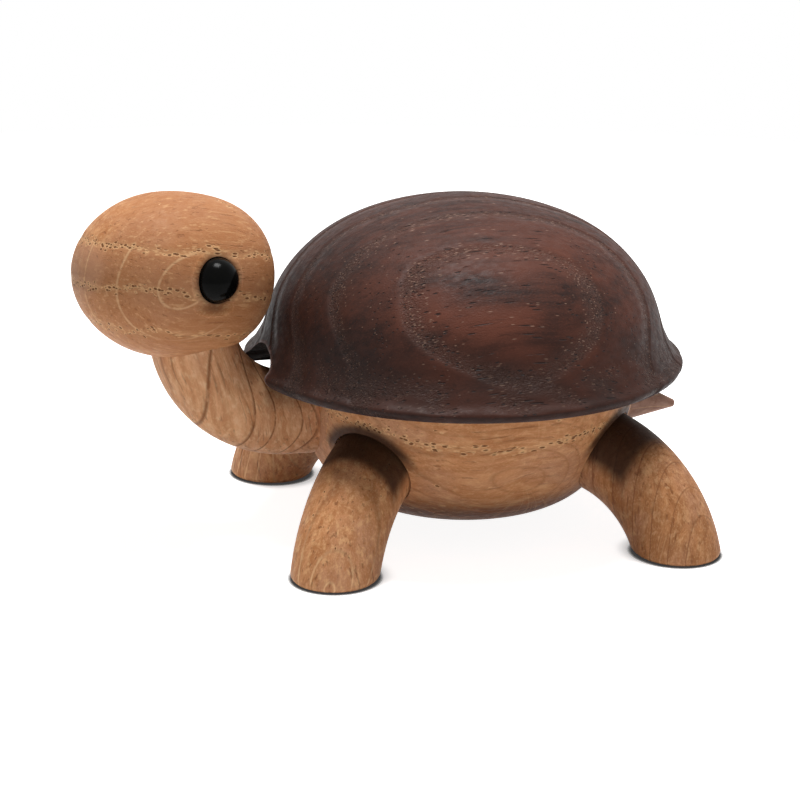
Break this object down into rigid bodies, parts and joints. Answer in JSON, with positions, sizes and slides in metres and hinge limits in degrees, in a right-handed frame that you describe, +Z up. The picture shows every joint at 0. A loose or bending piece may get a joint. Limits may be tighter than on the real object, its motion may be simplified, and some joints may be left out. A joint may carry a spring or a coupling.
{
  "type": "turtle figurine",
  "caption": "Turned wooden turtle with a dark domed shell over a pale round body, bent legs and neck, an egg-shaped head that turns on a peg, glossy bead eyes and a pointed tail.",
  "frame": {"origin": "on the floor plane under the middle of the overall box, midway between the snout and the tail's tip", "axes": "-Y is the way the turtle faces, +X is its left side, +Z is up; the soles stand on z = 0"},
  "size_m": [0.095, 0.1338, 0.0743],
  "materials": {
    "shell_wood": "satin, dark stained or heat treated, open pored",
    "body_wood": "satin oiled oak",
    "leg_wood": "satin oiled oak",
    "neck_wood": "satin oiled oak",
    "head_wood": "satin oiled oak",
    "tail_wood": "satin oiled oak",
    "dowel_wood": "plain beech dowel",
    "eye_bead": "glossy black"
  },
  "bodies": {
    "figure": {"body": "body_wood", "shell": "shell_wood", "neck": "neck_wood", "leg_front_left": "leg_wood", "leg_front_right": "leg_wood", "leg_rear_left": "leg_wood", "leg_rear_right": "leg_wood", "tail": "tail_wood", "leg_dowel_front_left": "dowel_wood", "leg_dowel_front_right": "dowel_wood", "leg_dowel_rear_left": "dowel_wood", "leg_dowel_rear_right": "dowel_wood", "neck_dowel": "dowel_wood", "head_pin": "dowel_wood", "shell_dowels": "dowel_wood"},
    "head": {"head": "head_wood", "eye_left": "eye_bead", "eye_right": "eye_bead"}
  },
  "joints": [
    {"name": "head_turn", "type": "hinge", "parent": "figure", "child": "head", "pos_m": [0, -0.04142, 0.04304], "axis": [0, -0.1219, 0.9925], "range_deg": [-147.5, 92.5]}
  ]
}
